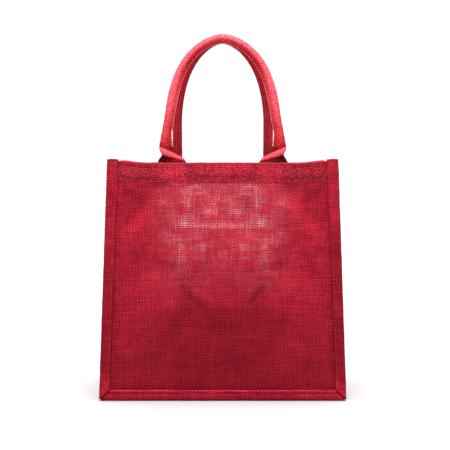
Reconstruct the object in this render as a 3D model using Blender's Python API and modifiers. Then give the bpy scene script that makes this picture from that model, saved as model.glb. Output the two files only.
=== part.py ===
"""Hessian gift bag with two padded handles.

Frame: metres, +Z up, +X across the bag, the front panel faces -Y. The origin is on the surface that the bag
stands on, in the middle of its bound bottom seams.

The front and back are the same pattern piece, joined to one U-shaped strip of gussets and base by fin seams that
stand out in the plane of the panel and are closed by a folded binding. The bag stands on its two bottom bindings.
"""

import math

import bmesh
import bpy
from mathutils import Matrix, Vector

MM = 0.001

# Body
HALF_BOTTOM = 154.0 * MM  # half the width over the bindings, at the floor
HALF_TOP = 144.0 * MM  # the same at the top of the bag
BINDING_TOP = 300.0 * MM  # top of the four side bindings
RIM = 296.0 * MM  # top of the hemmed panels and gussets
SHEET = 1.4 * MM  # one layer of hessian or of binding tape
GAP = 0.3 * MM  # clearance between layers that are sewn together

# The fin seam at the front, as distances of mid-surfaces from the bag's middle plane
BINDING_OUT = 89.7 * MM
PANEL_MID = 88.0 * MM
FLANGE_MID = 86.3 * MM
BINDING_IN = 84.6 * MM
BINDING_WIDTH = 13.0 * MM
WALL_INSET = 14.5 * MM  # gusset wall, inside the outer edge of the binding
EDGE_INSET = 1.8 * MM  # raw edges, inside the outer edge of the binding
BASE_MID = 14.5 * MM  # height of the base
GUSSET_FOLD = 22.0 * MM  # how far the gusset's centre crease stands in at the rim

# Hem
HEM = 25.0 * MM
HEM_FOLD_R = 1.1 * MM  # mid-surface radius of the turned edge
HEM_SIDE_GAP = 3.8 * MM

# Threads
THREAD_R = 0.35 * MM
STITCH_INSET = 11.5 * MM  # topstitching on the binding, from its outer edge
HEM_STITCH_Z = 273.0 * MM

# Handles
TAB_W, TAB_T, TAB_LOW, TAB_HIGH = 36.0 * MM, 2.4 * MM, 262.0 * MM, 295.4 * MM
TAB_X = 62.0 * MM
TAPE_MID = 83.3 * MM  # the flat end of the handle, from the bag's middle plane
TAPE_T = 3.0 * MM
END_LOW, END_HIGH = 296.6 * MM, 317.6 * MM
LOOP_LOW = 318.4 * MM  # the padded tube starts here, cut level
COVER_R, COVER_T = 6.0 * MM, 1.2 * MM  # mid-surface of the sleeve and its wall
CORE_R = 4.8 * MM
# Half the width of a handle's line, in mm, d mm below its top: a sqrt(d) + b d + c d sqrt(d) + e d^2
FRONT_ARCH, FRONT_RISE = (6.027, 1.114, -0.1608, 0.00557), 170.0 * MM
BACK_ARCH, BACK_RISE = (6.250, 0.844, -0.1164, 0.00339), 173.0 * MM
TOP_Y = 7.5 * MM  # the tops of the two loops lean together over the mouth
KINK_Z = 318.0 * MM
SWING_Y, SWING_Z = 90.5 * MM, 297.5 * MM
KINK_Y = TAPE_MID + COVER_R + COVER_T / 2


def half_width(z):
    """Half the width over the bindings at height z."""
    return HALF_BOTTOM + (HALF_TOP - HALF_BOTTOM) * z / BINDING_TOP


def wall_x(z):
    return half_width(z) - WALL_INSET


def fold_depth(z):
    """How far the gusset's centre crease stands in at height z."""
    t = max(0.0, min(1.0, (z - 0.06) / (RIM - 0.06)))
    return GUSSET_FOLD * t


# ---------------------------------------------------------------- scene, materials
for old in list(bpy.data.objects):
    bpy.data.objects.remove(old, do_unlink=True)

bag = bpy.data.collections.new("gift_bag")
bpy.context.scene.collection.children.link(bag)


def material(name, colour, roughness):
    made = bpy.data.materials.new(name)
    made.use_nodes = True
    shader = made.node_tree.nodes["Principled BSDF"]
    shader.inputs["Base Color"].default_value = (*colour, 1.0)
    shader.inputs["Roughness"].default_value = roughness
    shader.inputs["Metallic"].default_value = 0.0
    made.diffuse_color = (*colour, 1.0)
    return made


HESSIAN = material("red_hessian", (0.42, 0.02, 0.035), 0.92)
BINDING = material("red_binding", (0.33, 0.012, 0.022), 0.9)
TWILL = material("red_twill", (0.62, 0.07, 0.09), 0.85)
ROPE = material("cotton_rope", (0.55, 0.08, 0.09), 0.95)
THREAD = material("orange_thread", (0.62, 0.09, 0.03), 0.6)
RED_THREAD = material("red_thread", (0.4, 0.02, 0.03), 0.6)


def empty(name, at, parent=None):
    made = bpy.data.objects.new(name, None)
    made.empty_display_size = 0.02
    bag.objects.link(made)
    made["at"] = at
    if parent is not None:
        made.parent = parent
        made.location = Vector(at) - Vector(parent["at"])
    else:
        made.location = at
    return made


root = empty("bag_root", (0, 0, 0))
front_side = empty("front_side", (0, 0, 0), root)
back_side = empty("back_side", (0, 0, 0), root)
front_swing = empty("front_handle_swing", (0, -SWING_Y, SWING_Z), front_side)
back_swing = empty("back_handle_swing", (0, SWING_Y, SWING_Z), back_side)
front_kink = empty("front_handle_kink", (0, -KINK_Y, KINK_Z), front_swing)
back_kink = empty("back_handle_kink", (0, KINK_Y, KINK_Z), back_swing)


def place(obj, frame, skin):
    """Moves world-space data to the frame's origin and parents the object there."""
    obj.data.transform(Matrix.Translation(-Vector(frame["at"])))
    obj.parent = frame
    obj.data.materials.append(skin)
    bag.objects.link(obj)
    return obj


def flipped(points):
    """The same points at the back of the bag."""
    return [(x, -y, z) for x, y, z in points]


# ---------------------------------------------------------------- makers
def sheet(name, columns, rows, where, frame, skin, keep=None, back=False):
    """A grid shaped by where(column, row), thickened about its middle. keep(column, row) says which faces stay."""
    bm = bmesh.new()
    bmesh.ops.create_grid(bm, x_segments=columns, y_segments=rows, size=1.0)
    cells = {}
    for v in bm.verts:
        c = round((v.co.x + 1) / 2 * columns)
        r = round((v.co.y + 1) / 2 * rows)
        cells[v] = (c, r)
    if keep:
        gone = []
        for f in bm.faces:
            c = min(cells[v][0] for v in f.verts)
            r = min(cells[v][1] for v in f.verts)
            if not keep(c, r):
                gone.append(f)
        bmesh.ops.delete(bm, geom=gone, context="FACES")
    for v in bm.verts:
        x, y, z = where(*cells[v])
        v.co = (x, -y if back else y, z)
    bmesh.ops.recalc_face_normals(bm, faces=bm.faces)
    mesh = bpy.data.meshes.new(name)
    bm.to_mesh(mesh)
    bm.free()
    obj = place(bpy.data.objects.new(name, mesh), frame, skin)
    wall = obj.modifiers.new("cloth", "SOLIDIFY")
    wall.thickness = SHEET
    wall.offset = 0.0
    wall.use_even_offset = True
    wall.use_quality_normals = True
    return obj


def thread(name, points, frame, skin, closed=False, radius=THREAD_R):
    curve = bpy.data.curves.new(name, "CURVE")
    curve.dimensions = "3D"
    line = curve.splines.new("POLY")
    line.points.add(len(points) - 1)
    for p, co in zip(line.points, points):
        p.co = (*co, 1.0)
    line.use_cyclic_u = closed
    curve.bevel_depth = radius
    curve.bevel_resolution = 2
    curve.use_fill_caps = not closed
    return place(bpy.data.objects.new(name, curve), frame, skin)


def block(name, low, high, frame, skin, bevel=0.0):
    bm = bmesh.new()
    bmesh.ops.create_cube(bm, size=1.0)
    size = [b - a for a, b in zip(low, high)]
    middle = [(a + b) / 2 for a, b in zip(low, high)]
    for v in bm.verts:
        v.co = [v.co[i] * size[i] + middle[i] for i in range(3)]
    mesh = bpy.data.meshes.new(name)
    bm.to_mesh(mesh)
    bm.free()
    obj = place(bpy.data.objects.new(name, mesh), frame, skin)
    if bevel:
        soft = obj.modifiers.new("soft_edges", "BEVEL")
        soft.width = bevel
        soft.segments = 1
    return obj


# ---------------------------------------------------------------- panels
HEM_ARC = 4  # segments round the turned edge


def panel_profile():
    """(depth from the middle plane, height) down the panel, over the rim and down the hem."""
    fold_z = RIM - SHEET / 2 - HEM_FOLD_R
    run = [(PANEL_MID, z) for z in (EDGE_INSET, 0.15, RIM - HEM, fold_z)]
    for i in range(1, HEM_ARC + 1):
        a = math.pi * i / HEM_ARC
        run.append(
            (
                PANEL_MID - HEM_FOLD_R + HEM_FOLD_R * math.cos(a),
                fold_z + HEM_FOLD_R * math.sin(a),
            )
        )
    run.append((PANEL_MID - 2 * HEM_FOLD_R, RIM - HEM))
    return run


PROFILE = panel_profile()
FOLD_ROW = 3  # the row where the panel starts to turn over


def panel_point(column, row):
    depth, z = PROFILE[row]
    if column in (0, 3):
        x = half_width(z) - EDGE_INSET
        if row == FOLD_ROW:
            z = RIM - 0.2 * MM
    else:
        x = wall_x(z) - HEM_SIDE_GAP
    return (-x if column < 2 else x, -depth, z)


def panel_keeps(column, row):
    return column == 1 or row < FOLD_ROW


# ---------------------------------------------------------------- gussets and base
G_ROWS = [0.0, 0.06, 0.12, 0.18, 0.24, RIM - HEM]


def gusset_profile():
    """(height, how far in from the wall) up the gusset, over the rim and down the hem."""
    fold_z = RIM - SHEET / 2 - HEM_FOLD_R
    run = [(z, 0.0) for z in G_ROWS] + [(fold_z, 0.0)]
    for i in range(1, HEM_ARC + 1):
        a = math.pi * i / HEM_ARC
        run.append(
            (fold_z + HEM_FOLD_R * math.sin(a), HEM_FOLD_R * (1 - math.cos(a)))
        )
    run.append((RIM - HEM, 2 * HEM_FOLD_R))
    return run


G_PROFILE = gusset_profile()
G_FOLD_ROW = len(G_ROWS)


def gusset_point(side):
    def where(column, row):
        z, inward = G_PROFILE[row]
        hemmed = row > G_FOLD_ROW
        if column in (0, 4):
            x = half_width(z) - EDGE_INSET
            z = EDGE_INSET if row == 0 else (RIM - 0.2 * MM if row == G_FOLD_ROW else z)
            y = FLANGE_MID
        else:
            z = BASE_MID + 1.0 * MM if row == 0 else z
            x = wall_x(z) - inward - (fold_depth(z) if column == 2 else 0.0)
            y = 0.0 if column == 2 else FLANGE_MID
            if hemmed and column != 2:
                y -= inward * 2.1 * MM / (2 * HEM_FOLD_R)
        return (side * x, -y if column < 2 else y, z)

    return where


def gusset_keeps(column, row):
    return column in (1, 2) or row < G_FOLD_ROW


def base_point(column, row):
    """Columns run front to back over the seam flanges; rows run left to right."""
    low = column in (0, 4)
    y = (-FLANGE_MID, -FLANGE_MID, 0.0, FLANGE_MID, FLANGE_MID)[column]
    z = EDGE_INSET if low else BASE_MID
    x = wall_x(BASE_MID) - 0.3 * MM + (BASE_MID - EDGE_INSET if low else 0.0) - 0.9 * MM * low
    return ((row - 1) * x, y, z)


for side, label in ((-1, "left"), (1, "right")):
    sheet(
        f"{label}_gusset",
        4,
        len(G_PROFILE) - 1,
        gusset_point(side),
        root,
        HESSIAN,
        keep=gusset_keeps,
    )
    out = SHEET / 2 + GAP + THREAD_R
    z = HEM_STITCH_Z
    ends = FLANGE_MID - 4.0 * MM
    thread(
        f"{label}_gusset_hem_stitch",
        [
            (side * (wall_x(z) + out), -ends, z),
            (side * (wall_x(z) - fold_depth(z) + out), 0.0, z),
            (side * (wall_x(z) + out), ends, z),
        ],
        root,
        RED_THREAD,
    )
sheet("base_panel", 4, 2, base_point, root, HESSIAN)


# ---------------------------------------------------------------- bindings
def side_binding_point(side):
    """A folded tape closed over the side seam; its foot is mitred against the bottom binding."""
    inset = (BINDING_WIDTH, SHEET / 2, SHEET / 2, BINDING_WIDTH)
    depth = (BINDING_OUT, BINDING_OUT, BINDING_IN, BINDING_IN)

    def where(column, row):
        z = (inset[column] + 1.0 * MM) if row == 0 else BINDING_TOP
        return (side * (half_width(z) - inset[column]), -depth[column], z)

    return where


def bottom_binding_point(column, row):
    z = (BINDING_WIDTH, SHEET / 2, SHEET / 2, BINDING_WIDTH)[column]
    y = (BINDING_OUT, BINDING_OUT, BINDING_IN, BINDING_IN)[column]
    x = HALF_BOTTOM - z - GAP - (HALF_BOTTOM - half_width(z))
    return ((row - 1) * x, -y, z)


# ---------------------------------------------------------------- handles
def arch_x(arch, down):
    """Half the width of the loop's line at a distance below its top."""
    d = down / MM
    a, b, c, e = arch
    return (a * math.sqrt(d) + b * d + c * d * math.sqrt(d) + e * d * d) * MM


def loop_line(arch, rise, count):
    """(x, height) evenly along a rounded arch, from its left foot to its right foot."""
    drop = RIM + rise - LOOP_LOW + 9 * MM
    fine = []
    for i in range(-600, 601):
        down = drop * (i / 600) ** 2
        fine.append((math.copysign(arch_x(arch, down), i), RIM + rise - down))
    along = [0.0]
    for p, q in zip(fine, fine[1:]):
        along.append(along[-1] + math.dist(p, q))
    line, k = [], 0
    for i in range(count):
        want = along[-1] * i / (count - 1)
        while k < len(along) - 2 and along[k + 1] < want:
            k += 1
        f = (want - along[k]) / max(1e-12, along[k + 1] - along[k])
        line.append(tuple(fine[k][j] + f * (fine[k + 1][j] - fine[k][j]) for j in (0, 1)))
    return line


def leaned(line, rise):
    """The arch laid in its plane, which leans in over the mouth from the level where the tube starts."""
    slope = (TAPE_MID - TOP_Y) / (RIM + rise - KINK_Z)
    return [(x, -TAPE_MID + (z - KINK_Z) * slope, z) for x, z in line]


def swept(name, points, radius, caps, sides):
    curve = bpy.data.curves.new(name + "_line", "CURVE")
    curve.dimensions = "3D"
    curve.twist_mode = "MINIMUM"
    line = curve.splines.new("POLY")
    line.points.add(len(points) - 1)
    for p, co in zip(line.points, points):
        p.co = (*co, 1.0)
    curve.bevel_depth = radius
    curve.bevel_resolution = (sides - 4) // 2
    curve.use_fill_caps = caps
    guide = bpy.data.objects.new(name + "_line", curve)
    bpy.context.scene.collection.objects.link(guide)
    graph = bpy.context.evaluated_depsgraph_get()
    mesh = bpy.data.meshes.new_from_object(guide.evaluated_get(graph))
    bpy.data.objects.remove(guide, do_unlink=True)
    bpy.data.curves.remove(curve)
    mesh.name = name
    return mesh


def cover(name, points, frame):
    """The sleeve of the handle, open at both ends, each cut level where it folds into the flat end."""
    mesh = swept(name, points, COVER_R, False, 12)
    bm = bmesh.new()
    bm.from_mesh(mesh)
    bmesh.ops.remove_doubles(bm, verts=bm.verts, dist=1e-6)
    bmesh.ops.bisect_plane(
        bm,
        geom=bm.verts[:] + bm.edges[:] + bm.faces[:],
        plane_co=(0, 0, LOOP_LOW),
        plane_no=(0, 0, 1),
        clear_inner=True,
    )
    bmesh.ops.remove_doubles(bm, verts=bm.verts, dist=5e-5)
    bmesh.ops.recalc_face_normals(bm, faces=bm.faces)
    bm.to_mesh(mesh)
    bm.free()
    mesh.materials.clear()
    obj = place(bpy.data.objects.new(name, mesh), frame, TWILL)
    wall = obj.modifiers.new("cloth", "SOLIDIFY")
    wall.thickness = COVER_T
    wall.offset = 0.0
    mesh.shade_smooth()
    return obj


def handle_end(name, side, top_x, frame, back):
    """Loft from the flat tape at the hem to the oval foot of the tube: the sections are unlike, so it is skinned
    ring by ring."""
    rings, around = 6, 14
    bm = bmesh.new()
    made = []
    for i in range(rings):
        t = i / (rings - 1)
        ease = t * t * (3 - 2 * t)
        z = END_LOW + (END_HIGH - END_LOW) * t
        cx = side * (TAB_X + (top_x - TAB_X) * ease)
        half_w = TAB_W / 2 + (8.6 * MM - TAB_W / 2) * ease
        half_t = TAPE_T / 2 + (6.2 * MM - TAPE_T / 2) * ease
        power = 5.0 - 3.0 * ease
        ring = []
        for k in range(around):
            a = 2 * math.pi * k / around
            c, s = math.cos(a), math.sin(a)
            x = cx + half_w * math.copysign(abs(c) ** (2 / power), c)
            y = -TAPE_MID + half_t * math.copysign(abs(s) ** (2 / power), s)
            ring.append(bm.verts.new((x, -y if back else y, z)))
        made.append(ring)
    for low, high in zip(made, made[1:]):
        for k in range(around):
            n = (k + 1) % around
            bm.faces.new((low[k], low[n], high[n], high[k]))
    bm.faces.new(made[0])
    bm.faces.new(made[-1])
    bmesh.ops.recalc_face_normals(bm, faces=bm.faces)
    mesh = bpy.data.meshes.new(name)
    bm.to_mesh(mesh)
    bm.free()
    obj = place(bpy.data.objects.new(name, mesh), frame, TWILL)
    mesh.shade_smooth()
    mesh.set_sharp_from_angle(angle=math.radians(50))
    return obj


# ---------------------------------------------------------------- both sides
for label, back, frame, swing, kink, arch, rise in (
    ("front", False, front_side, front_swing, front_kink, FRONT_ARCH, FRONT_RISE),
    ("back", True, back_side, back_swing, back_kink, BACK_ARCH, BACK_RISE),
):
    turn = flipped if back else list
    sheet(
        f"{label}_panel",
        3,
        len(PROFILE) - 1,
        panel_point,
        frame,
        HESSIAN,
        keep=panel_keeps,
        back=back,
    )
    sheet(
        f"{label}_bottom_binding",
        3,
        2,
        bottom_binding_point,
        frame,
        BINDING,
        back=back,
    )
    out = BINDING_OUT + SHEET / 2 + GAP + THREAD_R
    high = 289.0 * MM
    low = STITCH_INSET
    thread(
        f"{label}_binding_topstitch",
        turn(
            [
                (-(half_width(high) - STITCH_INSET), -out, high),
                (-(half_width(low) - STITCH_INSET), -out, low),
                ((half_width(low) - STITCH_INSET), -out, low),
                ((half_width(high) - STITCH_INSET), -out, high),
            ]
        ),
        frame,
        THREAD,
    )
    reach = half_width(HEM_STITCH_Z) - BINDING_WIDTH - 1.0 * MM
    face = PANEL_MID + SHEET / 2 + GAP + THREAD_R
    thread(
        f"{label}_hem_stitch",
        turn([(-reach, -face, HEM_STITCH_Z), (reach, -face, HEM_STITCH_Z)]),
        frame,
        RED_THREAD,
    )
    foot_x = arch_x(arch, RIM + rise - KINK_Z)
    s = 1 if back else -1
    for side, where in ((-1, "left"), (1, "right")):
        sheet(
            f"{label}_{where}_binding",
            3,
            1,
            side_binding_point(side),
            frame,
            BINDING,
            back=back,
        )
        deep = [PANEL_MID - 2 * HEM_FOLD_R - SHEET / 2 - GAP]
        deep.append(deep[0] - TAB_T)
        ys = sorted(s * d for d in deep)
        xs = sorted((side * TAB_X - TAB_W / 2, side * TAB_X + TAB_W / 2))
        block(
            f"{label}_{where}_tab",
            (xs[0], ys[0], TAB_LOW),
            (xs[1], ys[1], TAB_HIGH),
            frame,
            TWILL,
            bevel=0.4 * MM,
        )
        y = s * (deep[1] - GAP - THREAD_R)
        w, lo, hi = TAB_W / 2 - 3.5 * MM, TAB_LOW + 3.5 * MM, TAB_HIGH - 3.5 * MM
        thread(
            f"{label}_{where}_tab_stitching",
            [
                (side * TAB_X - w, y, lo),
                (side * TAB_X + w, y, lo),
                (side * TAB_X + w, y, hi),
                (side * TAB_X - w, y, hi),
            ],
            frame,
            RED_THREAD,
            closed=True,
        )
        tack_x = side * 135.2 * MM
        tack_y = sorted((s * (BINDING_OUT + SHEET / 2 + GAP), s * (out + THREAD_R)))
        block(
            f"{label}_{where}_bartack",
            (tack_x - 2.3 * MM, tack_y[0], 291.8 * MM),
            (tack_x + 2.3 * MM, tack_y[1], 296.8 * MM),
            frame,
            THREAD,
        )
        handle_end(f"{label}_{where}_handle_end", side, foot_x, swing, back)

    middle = leaned(loop_line(arch, rise, 34), rise)
    cover(f"{label}_handle_cover", turn(middle), kink)
    inner = [p for p in middle if p[2] > LOOP_LOW + 3.0 * MM]
    core = swept(f"{label}_handle_core", turn(inner), CORE_R, True, 8)
    bm = bmesh.new()
    bm.from_mesh(core)
    bmesh.ops.remove_doubles(bm, verts=bm.verts, dist=1e-6)
    bmesh.ops.recalc_face_normals(bm, faces=bm.faces)
    bm.to_mesh(core)
    bm.free()
    core.materials.clear()
    place(bpy.data.objects.new(f"{label}_handle_core", core), kink, ROPE)
    core.shade_smooth()
    # The seam that closes the sleeve runs round the inside of the loop.
    flat = loop_line(arch, rise, 46)
    off = COVER_R + COVER_T / 2 + GAP + THREAD_R
    seam = []
    for i, (x, z) in enumerate(flat):
        p, q = flat[max(0, i - 1)], flat[min(len(flat) - 1, i + 1)]
        dx, dz = q[0] - p[0], q[1] - p[1]
        n = math.hypot(dx, dz)
        sx, sz = dz / n * off, -dx / n * off
        seam.append((x + sx, z + sz))
    seam = [p for p in leaned(seam, rise) if p[2] > LOOP_LOW + 3.0 * MM]
    thread(f"{label}_handle_seam_stitch", turn(seam), kink, RED_THREAD)
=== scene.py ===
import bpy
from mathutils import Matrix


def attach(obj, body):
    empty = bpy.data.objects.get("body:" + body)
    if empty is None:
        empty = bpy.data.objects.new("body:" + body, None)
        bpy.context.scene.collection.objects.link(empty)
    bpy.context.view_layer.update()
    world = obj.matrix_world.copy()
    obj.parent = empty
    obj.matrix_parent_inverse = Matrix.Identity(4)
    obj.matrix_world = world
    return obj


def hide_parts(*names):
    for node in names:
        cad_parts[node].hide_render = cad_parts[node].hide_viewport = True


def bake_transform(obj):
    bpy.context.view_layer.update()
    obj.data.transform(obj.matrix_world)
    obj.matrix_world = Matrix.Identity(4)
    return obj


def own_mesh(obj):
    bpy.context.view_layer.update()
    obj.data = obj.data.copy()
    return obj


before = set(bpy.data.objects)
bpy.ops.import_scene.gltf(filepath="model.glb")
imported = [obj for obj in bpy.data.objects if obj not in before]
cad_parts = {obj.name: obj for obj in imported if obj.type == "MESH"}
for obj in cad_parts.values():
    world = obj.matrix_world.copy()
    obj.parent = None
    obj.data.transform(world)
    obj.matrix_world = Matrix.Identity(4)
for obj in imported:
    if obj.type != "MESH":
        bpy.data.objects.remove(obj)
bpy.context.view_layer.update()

import math
import random

import bmesh
import bpy
import numpy as np
from mathutils import Vector, noise

MM = 0.001

# The bag's own dimensions, as in the frame
HALF_BOTTOM, HALF_TOP, SIDE_TOP, RIM = 0.154, 0.144, 0.300, 0.296
SHEET = 0.0014
BINDING_OUT, PANEL_MID, FLANGE_MID, BINDING_IN = 0.0897, 0.088, 0.0863, 0.0846
BINDING_W, WALL_INSET, EDGE_INSET, BASE_MID = 0.013, 0.0145, 0.0018, 0.0145
GUSSET_FOLD = 0.022
HEM = 0.025
TAB_X, TAPE_MID, KINK_Z = 0.062, 0.0833, 0.318
# Half the width of a handle's line, in mm, d mm below its top: a sqrt(d) + b d + c d sqrt(d) + e d^2
HANDLES = {
    "front": ((6.027, 1.114, -0.1608, 0.00557), 0.170),
    "back": ((6.250, 0.844, -0.1164, 0.00339), 0.173),
}
TOP_Y = 0.0072

rng = random.Random(7)


def half_width(z):
    return HALF_BOTTOM + (HALF_TOP - HALF_BOTTOM) * z / SIDE_TOP


def wall_x(z):
    return half_width(z) - WALL_INSET


def smooth(a, b, x):
    t = max(0.0, min(1.0, (x - a) / (b - a)))
    return t * t * (3 - 2 * t)


def wave(x, y, z=0.0, scale=1.0):
    return noise.noise(Vector((x * scale, y * scale, z)))


# ================================================================ node helpers
class Graph:
    def __init__(self, name):
        self.mat = bpy.data.materials.new(name)
        self.mat.use_nodes = True
        self.tree = self.mat.node_tree
        self.shader = self.tree.nodes["Principled BSDF"]

    def node(self, kind, **settings):
        n = self.tree.nodes.new(kind)
        for k, v in settings.items():
            setattr(n, k, v)
        return n

    def put(self, socket, value):
        if hasattr(value, "default_value") or hasattr(value, "is_output"):
            self.tree.links.new(value, socket)
        else:
            socket.default_value = value

    def math(self, op, a, b=0.0, c=None, clamp=False):
        n = self.node("ShaderNodeMath", operation=op, use_clamp=clamp)
        self.put(n.inputs[0], a)
        self.put(n.inputs[1], b)
        if c is not None:
            self.put(n.inputs[2], c)
        return n.outputs[0]

    def add(self, a, b):
        return self.math("ADD", a, b)

    def mul(self, a, b):
        return self.math("MULTIPLY", a, b)

    def step(self, value, low, high, to_low=0.0, to_high=1.0):
        n = self.node("ShaderNodeMapRange", interpolation_type="SMOOTHSTEP")
        self.put(n.inputs["Value"], value)
        n.inputs["From Min"].default_value = low
        n.inputs["From Max"].default_value = high
        n.inputs["To Min"].default_value = to_low
        n.inputs["To Max"].default_value = to_high
        return n.outputs["Result"]

    def mix(self, factor, a, b):
        n = self.node("ShaderNodeMix", data_type="RGBA", blend_type="MIX")
        self.put(n.inputs[0], factor)
        self.put(n.inputs[6], a)
        self.put(n.inputs[7], b)
        return n.outputs[2]

    def scale(self, colour, factor):
        n = self.node("ShaderNodeVectorMath", operation="SCALE")
        self.put(n.inputs[0], colour)
        self.put(n.inputs["Scale"], factor)
        return n.outputs[0]

    def shade_by_tone(self, colour, tone, rest=1.0):
        """Scales a colour by tone, the painted light and shade; the darker the painted shade, the redder."""
        less = self.mul(tone, self.step(tone, 0.50, 1.30, 0.42, 1.45))
        n = self.node("ShaderNodeVectorMath", operation="MULTIPLY")
        self.put(n.inputs[0], colour)
        self.put(n.inputs[1], self.vector(tone, less, less))
        return n.outputs[0]

    def uv(self, name="cloth"):
        n = self.node("ShaderNodeUVMap", uv_map=name)
        s = self.node("ShaderNodeSeparateXYZ")
        self.tree.links.new(n.outputs[0], s.inputs[0])
        return s.outputs[0], s.outputs[1]

    def vector(self, x, y, z=0.0):
        n = self.node("ShaderNodeCombineXYZ")
        self.put(n.inputs[0], x)
        self.put(n.inputs[1], y)
        self.put(n.inputs[2], z)
        return n.outputs[0]

    def noise(self, vector, scale, detail=2.0, rough=0.5):
        n = self.node("ShaderNodeTexNoise")
        self.tree.links.new(vector, n.inputs["Vector"])
        n.inputs["Scale"].default_value = scale
        n.inputs["Detail"].default_value = detail
        n.inputs["Roughness"].default_value = rough
        return n.outputs["Fac"]

    def bump(self, height, strength, distance):
        n = self.node("ShaderNodeBump")
        n.inputs["Strength"].default_value = strength
        n.inputs["Distance"].default_value = distance
        self.tree.links.new(height, n.inputs["Height"])
        self.tree.links.new(n.outputs[0], self.shader.inputs["Normal"])


def grey(values, factor):
    return tuple(v * factor for v in values) + (1,)


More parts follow.
